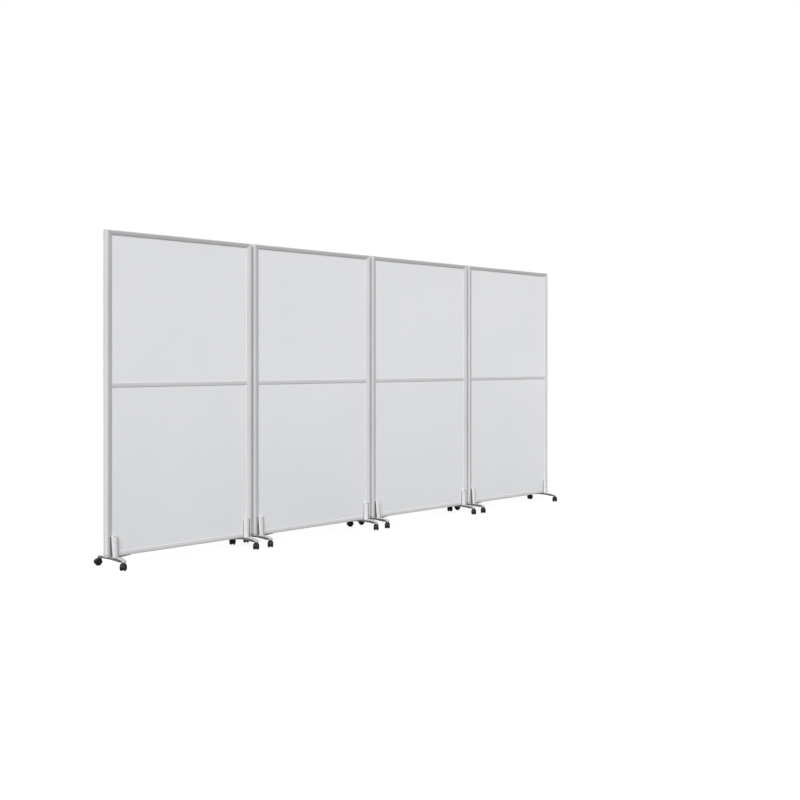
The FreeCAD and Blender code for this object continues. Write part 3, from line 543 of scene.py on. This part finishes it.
def front_side(face):
    """Front half of the section from the outer face to the groove: (u inwards, v to the front, rub).

    The corner is a quarter circle, and the bead a soft slope that leaves the flat without a kink:
    u = flat + reach t, v = half depth - drop t^1.35, for t from 0 to 1.
    """
    turn = np.linspace(0.0, np.pi / 2, CORNER_STEPS)
    rounded = CORNER_ROUND * np.stack([1 - np.cos(turn), np.sin(turn) - 1], axis=1)
    corner = rounded + (0.0, HALF_DEPTH)
    flat = EDGE_FLAT * face / FACE
    along = np.linspace(0.0, 1.0, BEAD_STEPS)
    bead = np.stack([flat + (face - flat) * along, HALF_DEPTH - BEAD_DROP * along**BEAD_POWER], axis=1)
    inside = np.array([[face, GROOVE_HALF], [GROOVE_BOTTOM, GROOVE_HALF]])
    line = np.concatenate([corner, bead, inside])
    rub = np.concatenate([np.ones(CORNER_STEPS), np.linspace(BEAD_RUB, 0.0, BEAD_STEPS), np.zeros(2)])
    return line, rub


def channel_side():
    """Half of the channel from its floor out: half the round bore to the throat, then the flared mouth."""
    throat = CHANNEL_CENTRE - np.sqrt(CHANNEL_RADIUS**2 - THROAT_HALF**2)
    start = np.arctan2(THROAT_HALF, throat - CHANNEL_CENTRE)
    turn = np.linspace(0.0, start, BORE_STEPS)
    bore = CHANNEL_RADIUS * np.stack([np.cos(turn), np.sin(turn)], axis=1) + (CHANNEL_CENTRE, 0.0)
    return np.concatenate([bore, [[0.0, MOUTH_HALF]]])


def frame_section(face, channel):
    """The whole closed section, front half then mirrored back half, with rub for each point."""
    line, rub = front_side(face)
    if channel:
        mouth = channel_side()
        line = np.concatenate([mouth, line])
        rub = np.concatenate([np.zeros(len(mouth)), rub])
    mirrored = line[::-1] * (1.0, -1.0)
    back_rub = rub[::-1]
    if channel:
        mirrored, back_rub = mirrored[:-1], back_rub[:-1]
    return np.concatenate([line, mirrored]), np.concatenate([rub, back_rub])


stile_section, stile_rub = frame_section(FACE, channel=True)
rail_section, rail_rub = frame_section(RAIL_FACE, channel=False)
print("section points", len(stile_section), len(rail_section))

# %% [markdown]
# ## Stiles and rails
# The ends of stiles and rails are mitred. At such an end a point that lies u inside the outer face also
# lies u times the slope short of the corner, so the mitre needs no cutting: it is part of the formula.
# A few rings close to each end carry the mitre number for the fine dark line.

# %% Carry the section along stiles and rails
END_RINGS = np.array([0.0, 0.0012, 0.006])
MITRE_FADE = np.array([1.0, 0.0, 0.0])
SAW_GAP = 0.00008
# Share of painted shade on the lip's end face by the board.
LEDGE_SHADE = 0.5


def member(section, rub, length, slope, dust_and_shade=LEDGE_SHADE):
    """A mitred member along w: w = gap + slope u + ring at the near end, and the same from the far end.

    Gives points (u, v, w), faces with both end caps, and the numbers rub and mitre. Painted shade in the
    corner by the board, at the largest u, counts as a faint mitre line.
    """
    u, v = section[:, 0], section[:, 1]
    near = SAW_GAP + slope * u[None, :] + END_RINGS[:, None]
    rings = np.concatenate([near, length - near[::-1]])
    points = np.stack([np.broadcast_to(u, rings.shape), np.broadcast_to(v, rings.shape), rings], axis=-1)
    count = len(section)
    faces = grid_faces(len(rings), count, closed=True).tolist()
    faces.append(list(range(count))[::-1])
    faces.append(list(range((len(rings) - 1) * count, len(rings) * count)))
    mitre = np.concatenate([MITRE_FADE, MITRE_FADE[::-1]])
    # Painted shade: the lip's end face by the board, at the largest u, darkens through the mitre number.
    ledge_shade = np.where(np.isclose(u, u.max()), dust_and_shade, 0.0)
    numbers = {"rub": np.tile(rub, len(rings)), "mitre": np.maximum.outer(mitre, ledge_shade).ravel()}
    return points.reshape(-1, 3), faces, numbers


def outward(points, faces):
    """Turns every face round where the shell's signed volume says that it is inside out."""
    total = 0.0
    for face in faces:
        corners = points[np.asarray(face, dtype=int)]
        fan = np.cross(corners[1:-1], corners[2:])
        total += float((fan @ corners[0]).sum())
    return faces if total > 0 else [list(face)[::-1] for face in faces]


def placed(shell, origin, u_way, v_way, w_way):
    """A shell in u, v, w moved into the model's frame by an origin and three directions."""
    points, faces, numbers = shell
    moved = np.asarray(origin) + points @ np.array([u_way, v_way, w_way], dtype=float)
    return moved, outward(moved, faces), numbers


X, Y, Z = np.eye(3)
for panel in PANELS:
    low, high = map(np.asarray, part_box(f"{panel}_stiles"))
    upright = member(stile_section, stile_rub, high[2] - low[2], RAIL_FACE / FACE)
    left = placed(upright, (low[0], 0.0, low[2]), X, -Y, Z)
    right = placed(upright, (high[0], 0.0, low[2]), -X, -Y, Z)
    points, faces, numbers = joined([left, right])
    piece = build_piece(f"{panel}_stile_pair", points, faces, stile_satin, panel, numbers)
    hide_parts(f"{panel}_stiles")
print("stile pairs", len(PANELS))

# %% [markdown]
# ## The middle rail
# The middle rail covers the joint between the two boards. What shows is a flat bar on each face with
# eased edges; between the bars a web runs through. It is one more section carried straight across.

# %% Carry the rails across
MID_ABOVE, MID_BELOW = 0.0145, 0.0075
MID_RAIL_CENTRE = 0.987
MID_RUB = 0.6
WEB_HALF = 0.002
EASE, EASE_STEPS = 0.0006, 5


def mid_section():
    """Section of the middle rail as (u across the face, v to the front): an H with eased outer corners."""
    turn = np.linspace(0.0, np.pi / 2, EASE_STEPS)

    def side(reach):
        """Half of the H on one side of its web: the front quarter, then the mirrored back one."""
        eased = (reach, MID_FACE_HALF) - EASE * np.stack([1 - np.sin(turn), 1 - np.cos(turn)], axis=1)
        quarter = np.concatenate([eased, [[reach, GROOVE_HALF], [WEB_HALF, GROOVE_HALF]]])
        return np.concatenate([quarter, quarter[::-1] * (1.0, -1.0)])

    whole = np.concatenate([side(MID_ABOVE), side(MID_BELOW)[::-1] * (-1.0, 1.0)])
    worn = np.concatenate([np.full(EASE_STEPS, MID_RUB), np.zeros(2)])
    return whole, np.concatenate([worn, worn[::-1], worn, worn[::-1]])


def straight_bar(section, rub, length):
    """A section carried along w from 0 to length with square ends."""
    count = len(section)
    ends = np.array([0.0, length])
    points = np.column_stack([np.tile(section, (2, 1)), np.repeat(ends, count)])
    faces = grid_faces(2, count, closed=True).tolist()
    faces += [list(range(count))[::-1], list(range(count, 2 * count))]
    return points, faces, {"rub": np.tile(rub, 2), "mitre": np.zeros(2 * count)}


for panel in PANELS:
    low, high = map(np.asarray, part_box(f"{panel}_rails"))
    span = high[0] - low[0]
    # Stiles and the bottom rail get painted shade on the lip by the board; the top rail, whose lip faces down,
    # gets none.
    level = member(rail_section, rail_rub, span, FACE / RAIL_FACE)
    no_ledge_shade = member(rail_section, rail_rub, span, FACE / RAIL_FACE, dust_and_shade=0.0)
    bottom = placed(level, (low[0], 0.0, low[2]), Z, -Y, X)
    top = placed(no_ledge_shade, (low[0], 0.0, high[2]), -Z, -Y, X)
    bar = straight_bar(*mid_section(), span - 2 * FACE)
    middle = placed(bar, (low[0] + FACE, 0.0, MID_RAIL_CENTRE), Z, -Y, X)
    points, faces, numbers = joined([bottom, top, middle])
    piece = build_piece(f"{panel}_rail_set", points, faces, rail_satin, panel, numbers)
    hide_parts(f"{panel}_rails")
print("rail sets", len(PANELS))

# %% [markdown]
# ## Seals round the boards
# A slim soft bead fills the corner between frame and board on both faces, so the board does not
# rattle. It is a quarter-round carried round a rectangle; at each corner the profile is pushed in
# along both sides at once, which makes the mitre by itself.

# %% Lay the seals
SEAL_WIDTH = 0.001
BOARD_HALF = 0.012
SEAL_POINTS = 7


def seal_loop(left, right, bottom, top, side):
    """A quarter-round bead round a rectangle: inwards by s cos(a), off the board by s sin(a)."""
    turn = np.linspace(0.0, np.pi / 2, SEAL_POINTS)
    inward = np.concatenate([SEAL_WIDTH * np.cos(turn), [0.0]])
    off = np.concatenate([SEAL_WIDTH * np.sin(turn), [0.0]])
    corners = np.array([[left, bottom], [right, bottom], [right, top], [left, top]])
    ways = np.array([[1, 1], [-1, 1], [-1, -1], [1, -1]])
    x, z = np.moveaxis(corners[:, None] + ways[:, None] * inward[:, None], -1, 0)
    y = np.broadcast_to(side * (BOARD_HALF + off), x.shape)
    points = np.stack([x, y, z], axis=-1).reshape(-1, 3)
    faces = grid_faces(len(corners) + 1, len(inward), closed=True) % len(points)
    return points, outward(points, faces.tolist()), {}


for panel in PANELS:
    low, high = map(np.asarray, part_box(f"{panel}_rails"))
    left, right = low[0] + FACE, high[0] - FACE
    spans = [
        (low[2] + RAIL_FACE, MID_RAIL_CENTRE - MID_BELOW),
        (MID_RAIL_CENTRE + MID_ABOVE, high[2] - RAIL_FACE),
    ]
    loops = [seal_loop(left, right, start, stop, side) for start, stop in spans for side in (-1.0, 1.0)]
    points, faces, _ = joined(loops)
    build_piece(f"{panel}_board_seals", points, faces, seal_grey, panel)
print("seal loops", 4 * len(PANELS))

# %% [markdown]
# ## Turned pieces
# Wheels and bolts are turned: a line of (radius, height) pairs goes round an axis. The radius and the
# height may also change with the angle, which gives the ribs of a wheel's face or a hexagon socket.


# %% Write the lathe
def lathe(radius, height, centre, axis, turns):
    """Rings round an axis: centre + axis h + r (cos(t) side + sin(t) other), for each ring and angle t.

    radius and height are arrays of rings by angles. Rings of no radius close the ends.
    """
    axis = np.asarray(axis, dtype=float) / np.linalg.norm(axis)
    side = np.cross(axis, Z if abs(axis[2]) < 0.9 else X)
    side /= np.linalg.norm(side)
    other = np.cross(axis, side)
    spin = np.cos(turns)[None, :, None] * side + np.sin(turns)[None, :, None] * other
    points = np.asarray(centre) + height[..., None] * axis + radius[..., None] * spin
    rings, steps = radius.shape
    points = points.reshape(-1, 3)
    faces = grid_faces(rings, steps, closed=True)
    return points, outward(points, faces.tolist()), {}


def full_turn(steps):
    """Angles of a full turn, without the last one that would repeat the first."""
    return np.arange(steps) * (2 * np.pi / steps)


print("lathe ready")

# %% [markdown]
# ## Wheels
# Each caster has two wheels on one axle. A wheel has a broad rounded tread and a dished outer face; low
# ribs stiffen the dish from hub to rim. The joint of the pair gives the axle's middle and direction.

# %% Turn the wheels
WHEEL_RADIUS, WHEEL_WIDTH, WHEEL_INNER = 0.019, 0.0125, 0.0044
TREAD_ROUND, SHOULDER_ROUND = 0.0025, 0.006
RIM_WIDTH, HUB_RADIUS, DISH_DEPTH = 0.008, 0.005, 0.002
FACE_EASE, HUB_EASE, HUB_STEP, INNER_HUB = 0.0004, 0.0006, 0.0005, 0.004
RIB_COUNT, RIB_HEIGHT, RIB_EDGE = 6, 0.0013, 0.82
WHEEL_STEPS, ROUND_STEPS, DISH_STEPS = 72, 6, 8
TREAD_RINGS = slice(4, 11)


def wheel_line():
    """Half section from the inner hub round the tread to the hub cap: radius, height and tread number."""
    turn = np.linspace(0.0, np.pi / 2, ROUND_STEPS)
    inner = TREAD_ROUND * np.stack([np.sin(turn) - 1, 1 - np.cos(turn)], axis=1) + (WHEEL_RADIUS, 0.0)
    outer = SHOULDER_ROUND * np.stack([np.cos(turn) - 1, np.sin(turn) - 1], axis=1)
    outer += (WHEEL_RADIUS, WHEEL_WIDTH)
    rim = WHEEL_RADIUS - RIM_WIDTH
    face = [[rim + FACE_EASE, WHEEL_WIDTH], [rim, WHEEL_WIDTH - FACE_EASE]]
    dish = np.linspace((rim, WHEEL_WIDTH - DISH_DEPTH), (HUB_RADIUS, WHEEL_WIDTH - DISH_DEPTH), DISH_STEPS)
    wall, crown = [HUB_RADIUS, WHEEL_WIDTH - HUB_STEP], [HUB_RADIUS - HUB_EASE, WHEEL_WIDTH]
    line = np.concatenate(
        [[[0.0, 0.0], [INNER_HUB, 0.0]], inner, outer, face, dish, [wall, crown, [0.0, WHEEL_WIDTH]]]
    )
    tread, in_dish = np.zeros(len(line)), np.zeros(len(line))
    tread[TREAD_RINGS] = 1.0
    dish_start = 2 + len(inner) + len(outer) + len(face)
    in_dish[dish_start + 1 : dish_start + DISH_STEPS - 1] = 1.0
    return line, tread, in_dish


def turned_wheel(centre, axis):
    """The half section swept round, with ribs: height + rib height where cos(ribs * t) is near 1."""
    line, tread, in_dish = wheel_line()
    turns = full_turn(WHEEL_STEPS)
    rib = np.clip((np.cos(RIB_COUNT * turns) - RIB_EDGE) / (1 - RIB_EDGE), 0.0, 1.0)
    radius = np.repeat(line[:, :1], WHEEL_STEPS, axis=1)
    height = line[:, 1:2] + RIB_HEIGHT * in_dish[:, None] * rib[None, :]
    points, faces, _ = lathe(radius, height, centre, axis, turns)
    return points, faces, {"tread": np.repeat(tread, WHEEL_STEPS)}


rolls = [joint for joint in frame["joints"] if joint["name"].endswith("_roll")]
for joint in rolls:
    centre, axle = np.array(joint["pos_m"]), np.array(joint["axis"])
    pair = [turned_wheel(centre + way * WHEEL_INNER * axle, way * axle) for way in (1.0, -1.0)]
    points, faces, numbers = joined(pair)
    caster, body = joint["name"].removesuffix("_roll"), joint["child"]
    piece = build_piece(
        f"{caster}_wheel_pair", points, faces, wheel_black, body, numbers, sharp=40.0
    )
    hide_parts(f"{caster}_wheels")
print("wheel pairs", len(rolls))

# %% [markdown]
# ## Clamp bolts
# One bolt through each foot clamps it to the board. Its domed head has a hexagon socket, and a domed
# cap nut closes the other side. The socket is a ring whose radius follows a hexagon:
# r = apothem / cos(t), with t folded into one sixth of a turn.

# %% Turn the bolts
HEAD_RADIUS, HEAD_HEIGHT, SHANK_RADIUS = 0.006, 0.0033, 0.003
SOCKET_APOTHEM, SOCKET_DEPTH, SOCKET_RIM = 0.002, 0.0021, 0.0025
NUT_HEIGHT, SKIRT_HEIGHT = 0.006, 0.0022
CAP_RADIUS, CAP_FOOT = 0.0046, 0.0024
BOLT_STEPS, HEAD_RINGS, CAP_RINGS = 48, 7, 8


def hexagon(turns, apothem):
    """Radius of a hexagon at each angle."""
    sixth = np.pi / 3
    folded = np.mod(turns, sixth) - sixth / 2
    return apothem / np.cos(folded)


def dome(start_radius, rise, rings):
    """Spherical cap from its rim to near its crown: radius and height of each ring."""
    ball = (HEAD_RADIUS**2 + rise**2) / (2 * rise)
    radius = np.linspace(HEAD_RADIUS, start_radius, rings)
    return radius, rise - ball + np.sqrt(ball**2 - radius**2)


def turned_rings(rings, seat, axis, turns):
    """Puts (radius, height) rings on the lathe; a radius is one number, or one for each angle."""
    radii = np.array([np.broadcast_to(radius, turns.shape) for radius, _ in rings])
    heights = np.array([np.full(turns.shape, height) for _, height in rings])
    return lathe(radii, heights, seat, axis, turns)


def turned_bolt(seat, axis, length):
    """Socket floor, hexagon wall, dome, rim and shank, ring by ring along the axis out of the head."""
    turns = full_turn(BOLT_STEPS)
    socket = hexagon(turns, SOCKET_APOTHEM)
    radius, height = dome(SOCKET_RIM, HEAD_HEIGHT, HEAD_RINGS)
    crown, floor = height[-1], height[-1] - SOCKET_DEPTH
    rings = [(0.0, floor), (socket, floor), (socket, crown), *zip(radius[::-1], height[::-1])]
    rings += [(HEAD_RADIUS, 0.0), (SHANK_RADIUS, 0.0), (SHANK_RADIUS, -length), (0.0, -length)]
    return turned_rings(rings, seat, axis, turns)


def turned_nut(seat, axis):
    """A hexagon skirt under a dome, closed at both ends."""
    turns = full_turn(BOLT_STEPS)
    skirt = hexagon(turns, HEAD_RADIUS * np.cos(np.pi / 6))
    angle = np.linspace(0.0, np.pi / 2, CAP_RINGS)
    rise = CAP_FOOT + (NUT_HEIGHT - CAP_FOOT) * np.sin(angle)
    rings = [(0.0, 0.0), (skirt, 0.0), (skirt, SKIRT_HEIGHT), *zip(CAP_RADIUS * np.cos(angle), rise)]
    return turned_rings(rings, seat, axis, turns)


for panel in PANELS:
    low, high = map(np.asarray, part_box(f"{panel}_foot_bolts"))
    height = (low[2] + high[2]) / 2
    front, back = low[1] + HEAD_HEIGHT, high[1] - NUT_HEIGHT
    shells = []
    for x in (low[0] + HEAD_RADIUS, high[0] - HEAD_RADIUS):
        shells.append(turned_bolt((x, front, height), -Y, back - front))
        shells.append(turned_nut((x, back, height), Y))
    points, faces, _ = joined(shells)
    piece = build_piece(f"{panel}_clamp_bolts", points, faces, bolt_zinc, panel)
    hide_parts(f"{panel}_foot_bolts")
print("bolt sets", len(PANELS))

# %% [markdown]
# ## Dress the remaining nodes
# The boards, feet, strips, keys and yokes are right as they come, so they only get their finish. The
# record says which slot each node belongs to.

# %% Hand out the finishes
FINISH_OF_SLOT = {
    "frame": stile_satin,
    "board": board_white,
    "key": key_raw,
    "strip": strip_grey_and_gap_shade,
    "foot": foot_cast,
    "bolt": bolt_zinc,
    "yoke": yoke_black,
    "wheel": wheel_black,
}
for entry in frame["record"]["subparts"]:
    mesh = nodes[entry["node"]].data
    mesh.materials.clear()
    mesh.materials.append(FINISH_OF_SLOT[entry["material_slot"]])

# %% [markdown]
# ## Floor, world and light
# The picture has a white ground with hardly any shadow. The floor and the world therefore show white to
# the camera and to reflections, while the light that falls on the divider stays at a plain level: a low
# even world, one broad soft lamp high on the left that models the beads of the frame, and a weaker and
# broader one behind, which the picture does not see but which keeps the back from going dark.


# %% Lay the floor
def seen_directly(tree):
    """1 for rays from the camera and for mirrored or transmitted ones, 0 for the light that falls."""
    ray = add(tree, "ShaderNodeLightPath").outputs
    mirrored = maths(tree, "MAXIMUM", ray["Is Glossy Ray"], ray["Is Transmission Ray"])
    return maths(tree, "MAXIMUM", ray["Is Camera Ray"], mirrored)


FLOOR_SIZE = 60.0
FLOOR_TONE = 0.16
FLOOR_LIFT = 0.86

corners = FLOOR_SIZE / 2 * np.array([[-1, -1, 0], [1, -1, 0], [1, 1, 0], [-1, 1, 0]])
ground = bpy.data.meshes.new("floor")
ground.from_pydata(corners.tolist(), [], [(0, 1, 2, 3)])
floor = bpy.data.objects.new("floor", ground)
bpy.context.scene.collection.objects.link(floor)
floor_paper, tree, shader, _ = new_finish("floor_paper", 0.9)
shader.inputs["Base Color"].default_value = (FLOOR_TONE, FLOOR_TONE, FLOOR_TONE, 1.0)
shader.inputs["Specular IOR Level"].default_value = 0.0
glow = add(tree, "ShaderNodeEmission", Strength=maths(tree, "MULTIPLY", seen_directly(tree), FLOOR_LIFT))
both = add(tree, "ShaderNodeAddShader", i0=shader.outputs[0], i1=glow.outputs[0])
tree.links.new(both.outputs[0], tree.nodes["Material Output"].inputs["Surface"])
ground.materials.append(floor_paper)
print("floor", FLOOR_SIZE)

# %% Light the room
WORLD_LEVEL = 0.21
# each lamp: strength, direction towards it, spread in degrees
LAMPS = {
    "key_lamp": (4.25, (-0.61, -0.457, 0.648), 40.0),
    "rear_lamp": (2.4, (0.45, 0.7, 0.55), 60.0),
}

world = bpy.data.worlds.new("room")
bpy.context.scene.world = world
world.use_nodes = True
tree = world.node_tree
tree.nodes.clear()
strength = remap(tree, seen_directly(tree), 0.0, 1.0, WORLD_LEVEL, 1.0)
sky = add(tree, "ShaderNodeBackground", Color=(1.0, 1.0, 1.0, 1.0), Strength=strength)
add(tree, "ShaderNodeOutputWorld", Surface=sky.outputs[0])


def soft_lamp(name, level, way, spread):
    """A sun lamp that shines from a direction, with its size given as an angle in degrees."""
    lamp = bpy.data.lights.new(name, "SUN")
    lamp.energy = level
    lamp.angle = np.radians(spread)
    holder = bpy.data.objects.new(name, lamp)
    x, y, z = np.asarray(way) / np.linalg.norm(way)
    holder.rotation_euler = Euler((np.arccos(z), 0.0, np.arctan2(x, -y)))
    bpy.context.scene.collection.objects.link(holder)


for name, (level, way, spread) in LAMPS.items():
    soft_lamp(name, level, way, spread)
print("lamps", list(LAMPS))
